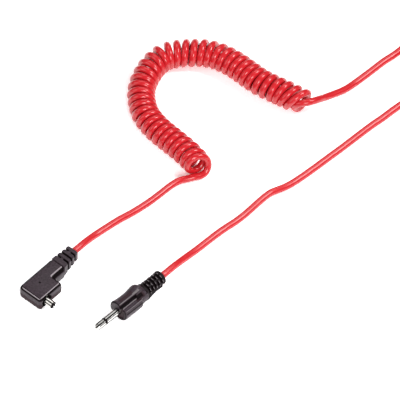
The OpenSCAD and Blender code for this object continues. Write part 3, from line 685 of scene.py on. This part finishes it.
# The insulator's near-black colour is partly its own and partly painted shade in the tube's mouth.
insulator = piece_from("angle_insulator_skin", turned([(0.4, 0.62), (0.4, 1.41), (6.1, 1.41), (6.1, 0.62)]),
                       black_and_painted_shade)
insulator.data.transform(tip_frame(mouth_y))
insulator.data.transform(angle_frame)
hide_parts("angle_tip_insulator")
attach(insulator, "root")
coat(nickel_in_painted_shade, "angle_centre_pin")

# ---------------------------------------------------------------- cord end in the right-angle plug
# The jacketed end of the cord runs on through the strain relief and into the
# moulding, which is shot onto it.

cord_end_line = [(in_relief(x) + shift) * MM for x in range(12, 34, 3)]
cord_end = sweep("angle_cord_end_skin", cord_end_line, cord_r * MM, 24)
cord_end.data.materials.append(red_pvc)
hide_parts("angle_cord_end")
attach(cord_end, "root")

# ---------------------------------------------------------------- jack plug
# A straight black PVC moulding, shot round a hard inner one and the cord. It has
# waisted cheeks, a raised grip pad on one edge, a flute along each face, and a
# shallow D-shaped hollow in its front.

# The same PVC with a painted sheen, for highlights along the grip's ridges and the pad's edge.
moulded_painted_sheen = speckled("moulded_painted_sheen", 700.0, 0.35, 0.1, (0.12, 0.10, 0.105), (0.18, 0.155, 0.16))
jack_frame = (Matrix.Translation((jack_corner + shift) * MM) @ Matrix.Rotation(jack_turn, 4, "Z")
              @ Matrix.Rotation(jack_roll, 4, "X"))

# Distance from the axis to the back edge's face, the cheeks and the grip pad, along x.
face_top = ((0, 4.1), (0.12, 4.45), (0.4, 4.62), (0.9, 4.66), (4, 4.5), (9, 4.45), (12.5, 4.6), (14.0, 4.5),
            (14.8, 4.1), (15.5, 3.5))
cheek = ((0, 4.3), (0.12, 4.75), (0.4, 5.0), (0.9, 5.1), (1.8, 4.85), (4, 4.7), (7, 4.62), (8.5, 4.7),
         (10, 4.88), (11.5, 5.1), (12.6, 5.25), (13.4, 5.25), (14.1, 5.0), (14.7, 4.5), (15.1, 4.0),
         (15.5, 3.6))
pad = ((0, 4.7), (0.12, 5.1), (0.4, 5.3), (0.9, 5.4), (5, 5.45), (10.3, 5.5), (10.8, 5.4), (11.1, 5.1),
       (11.4, 4.75), (13, 4.6), (15, 4.5), (15.5, 4.4))

# How far the skin may reach down from the axis, which keeps it above the table.
floor_reach = 5.28


def fade(x, a, b):
    """1 up to a, 0 from b on, and a smooth step between."""
    t = max(0, min(1, (x - a) / (b - a)))
    return 1 - t * t * (3 - 2 * t)


def bump(x, middle, width):
    return max(0, 1 - ((x - middle) / width) ** 2)


def along(profile, x):
    return float(np.interp(x, [p[0] for p in profile], [p[1] for p in profile]))


def grip_reach(x, turn):
    """Distance from the jack's axis to the grip's skin, which stays above the table."""
    a = degrees(turn) % 360
    a = min(a, 360 - a)
    top = along(face_top, x)
    reach = top + fade(a, 46, 66) * (along(cheek, x) - top) + (1 - fade(a, 112, 119)) * (along(pad, x) - top)
    flute = (1 - fade(a, 73, 77)) * fade(a, 89, 94) * fade(x, 9.5, 10.5)
    hollow = (1 - fade(a, 84, 88)) * fade(a, 116, 121) * (1 - fade(x, 9, 9.5)) * fade(x, 12.6, 13.2)
    ridge = bump(a, 69, 4) + bump(a, 101, 4) * fade(x, 8.5, 9.5) + 0.7 * bump(a, 119, 3)
    reach = reach - 1.0 * flute - 0.6 * hollow + 0.16 * ridge * (1 - fade(x, 0.2, 1.2))
    return min(reach, floor_reach / max(1e-6, -sin(turn + jack_roll)))


grip_stations = sorted({0, 0.12, 0.25, 0.4, 0.65, 0.9, 1.3, 1.8, *(2.4 + 0.6 * k for k in range(18)),
                        9.0, 9.25, 9.5, 10.3, 10.6, 10.8, 10.95, 11.1, 11.25, 11.4, 12.6, 12.9, 13.2,
                        13.4, 13.75, 14.1, 14.4, 14.7, 14.9, 15.1, 15.3, 15.5})
jack_body = polar_piece("jack_body_skin", grip_stations, 240, grip_reach,
                        (moulded_pvc, black_and_painted_shade, moulded_painted_sheen, moulded_painted_shade))

# Material, turn from and to, and x from and to: painted shade in the deep places, painted highlights on the
# ridges and painted shade in the hollows. The first zone that a face lies in holds.
grip_zones = (
    (1, -1, 181, 0.01, 0.3), (1, 75, 96, -1, 10.2), (1, 62, 66, -1, 2.6), (1, 88, 114, 9.3, 13),
    (1, 134, 142, 0.6, 10.8), (2, 60, 72, 9, 13), (2, 119, 122, 0.6, 12), (2, 67, 72, -1, 9),
    (2, 98, 102, -1, 9), (3, 84, 118, 8.6, 13.8), (3, 44, 62, 2, 9.6))
for face in jack_body.data.polygons:
    place = face.center / MM
    turn = degrees(atan2(abs(place.z), place.y))
    for slot, turn_from, turn_to, x_from, x_to in grip_zones:
        if near(turn, turn_from, turn_to) and near(place.x, x_from, x_to):
            face.material_index = slot
            break
# The front hollow's faces take painted shade from the cutting tool.
socket = piece_from("socket", loft([[(x, y, z) for y, z in arc(0, 0, 4.35, 95, 265, 24)] for x in (-1, 0.5)]),
                    moulded_painted_shade)
carve(jack_body, socket)
jack_body.data.transform(jack_frame)
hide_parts("jack_body")
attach(jack_body, "root")

# ---------------------------------------------------------------- jack strain relief
# A round PVC sleeve, moulded on with the grip. Five rows of slots round a solid core
# let it bend, and a keel runs along it in line with the grip pad.

moulded_dark = speckled("moulded_dark", 400.0, 0.45, 0.1, (0.006, 0.003, 0.004), (0.012, 0.006, 0.008),
                        Specular_IOR_Level=0.15)
jack_slots = [(16.85 + 1.95 * k, 18.1 + 1.95 * k) for k in range(5)]
ribs_end = 26.2
rib_starts = [jack_slots[0][0], *(stop for start, stop in jack_slots)]
rib_stops = [*(start for start, stop in jack_slots), ribs_end]
relief_line = ((15.4, 3.7), (16.5, 3.7), (16.85, 3.5), (20.5, 3.42), (25, 3.4), (25.9, 3.5), (27.2, 3.5),
               (27.6, 3.35), (27.85, 3.0), (27.9, 2.7))
keel_line = ((15.4, 2.6), (15.4, 4.6), (16.7, 4.35), (18.5, 4.1), (21.5, 3.8), (23.5, 3.95), (24.8, 4.0),
             (25.15, 3.75), (25.2, 2.6))


def jack_relief_reach(x, a):
    """Distance from the jack's axis to the skin: ribs with bevelled edges, bridges and the core."""
    reach = along(relief_line, x)
    for k, (start, stop) in enumerate(jack_slots):
        if near(x, start, stop):
            y = reach * cos(a)
            bridge = abs(y) > 2.75 or k % 2 and abs(y) < 0.45
            return reach - 0.2 if bridge else 2.15
    if near(x, rib_starts[0], ribs_end):
        start = max(place for place in rib_starts if place <= x + 1e-6)
        stop = min(place for place in rib_stops if place >= x - 1e-6)
        reach -= 0.16 * (max(0, 1 - (x - start) / 0.16) + max(0, 1 - (stop - x) / 0.16))
    return reach


jack_stations = [15.4, 15.9, 16.5]
for start, stop in zip([16.5, *rib_starts[1:]], rib_stops):
    jack_stations += [start + 0.02, start + 0.14, (start + stop) / 2, stop - 0.14, stop - 0.02]
    if stop < ribs_end:
        jack_stations += [stop + 0.01, stop + 1.24]
jack_stations += [26.6, 27.2, 27.45, 27.6, 27.75, 27.85, 27.9]
jack_relief = polar_piece("jack_relief_skin", jack_stations, 160, jack_relief_reach,
                          (moulded_dark, black_and_painted_shade, moulded_painted_highlight))

# The ribs' edges carry painted glints in patches.
for face in jack_relief.data.polygons:
    place = face.center / MM
    glinting = sin(9 * atan2(place.z, place.y) + 2.2 * place.x) > -0.2
    on_edge = any(near(place.x, stop, stop + 0.2) for start, stop in jack_slots)
    if glinting and on_edge and place.y ** 2 + place.z ** 2 > 9:
        face.material_index = 2
paint_shade_in_slots(jack_relief, 2.4, 26.5)
keel = piece_from("keel", loft([[(x, -r, z) for x, r in keel_line] for z in (-1.2, -1.05, 1.05, 1.2)]),
                  moulded_dark)
carve(jack_relief, keel, operation="UNION")
jack_relief.data.transform(jack_frame)
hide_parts("jack_strain_relief")
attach(jack_relief, "root")

# ---------------------------------------------------------------- jack shaft
# The sleeve contact, a black insulating ring and the blunt tip contact. The contacts
# are turned from brass and nickel-plated, and a rod holds the tip through the ring.

# Polished nickel shows a room as bright and dark bands. Here they are painted reflections in the shaft's
# colour, set out across its diameter.
shaft_d = 0.0035
band_levels = ((0, 0.11), (0.06, 0.11), (0.1, 0.16), (0.15, 0.36), (0.2, 0.75), (0.25, 0.92), (0.36, 0.95),
               (0.42, 0.62), (0.46, 0.26), (0.462, 0.24), (0.467, 0.002), (0.63, 0.002), (0.645, 0.26),
               (0.67, 0.4), (0.71, 0.4), (0.77, 0.27), (0.83, 0.22), (0.9, 0.32), (1, 0.25))
nickel_with_painted_reflections, nodes = start_material("nickel_with_painted_reflections")
where = nodes.add("TexCoord", out="Object")
haze = nodes.add("TexNoise", Vector=where, Scale=900.0, Detail=3.0)
across = nodes.add("SeparateXYZ", out="Y", Vector=where) * (1 / shaft_d) + 0.5
stops = [(place, (level, 0.98 * level, 0.95 * level)) for place, level in band_levels]
bands = nodes.add("ValToRGB", {"stops": stops}, Fac=across + 0.02 * (haze - 0.5))
finish_material(nickel_with_painted_reflections, nodes.add("BsdfPrincipled", Base_Color=bands, Metallic=1.0,
                                        Roughness=0.2 + 0.1 * haze))

sleeve_outline = [(-8.05, 1.2), (-8.05, 1.7), (-8.0, 1.75), (0.6, 1.75), (0.6, 1.2)]
ring_outline = [(-9.1, 1.2), (-9.1, 1.74), (-8.05, 1.74), (-8.05, 1.2)]
tip_outline = [(-14, 0), (-14, 0.5), (-13.92, 0.8), (-13.5, 1.3), (-13.3, 1.5), (-13.1, 1.64), (-12.8, 1.72),
               (-12.5, 1.75), (-9.15, 1.75), (-9.1, 1.7), (-9.1, 0)]
for name, node, outline, material, slot in (
        ("jack_sleeve_skin", "jack_sleeve", sleeve_outline, nickel_with_painted_reflections, "nickel"),
        ("jack_ring_skin", "jack_ring_insulator", ring_outline, black_and_painted_shade, "black_plastic"),
        ("jack_tip_skin", "jack_tip", tip_outline, nickel_with_painted_reflections, "nickel")):
    piece = piece_from(name, turned(outline, 96), material)
    piece.matrix_world = jack_frame
    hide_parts(node)
    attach(piece, "root")

# ---------------------------------------------------------------- inside the plugs
# Cream hard mouldings and insulators hold the contacts, brass tags carry the screen,
# and the two poles are soldered to them.

coat(red_pvc, "jack_cord_end")
coat(speckled("black_ring", 1500.0, 0.3, 0.1, (0.008, 0.008, 0.009)), "jack_rear_washer")
coat(speckled("cream", 500.0, 0.45, 0.1, (0.70, 0.68, 0.60), (0.78, 0.76, 0.70)),
     "angle_inner_mould", "jack_inner_mould", "jack_tube_insulator")
coat(speckled("brass", 900.0, 0.25, 0.15, (0.72, 0.52, 0.22), (0.82, 0.64, 0.34), detail=3.0, Metallic=1.0),
     "angle_screen_tag", "angle_screen_wire", "jack_tip_tag", "jack_screen_tag", "jack_screen_wire")
coat(speckled("solder", 1200.0, 0.2, 0.25, (0.62, 0.63, 0.65), detail=3.0, Metallic=1.0),
     "angle_solder", "jack_solder")
coat(speckled("white_jacket", 900.0, 0.3, 0.15, (0.82, 0.82, 0.79)), "angle_core_wire", "jack_core_wire")
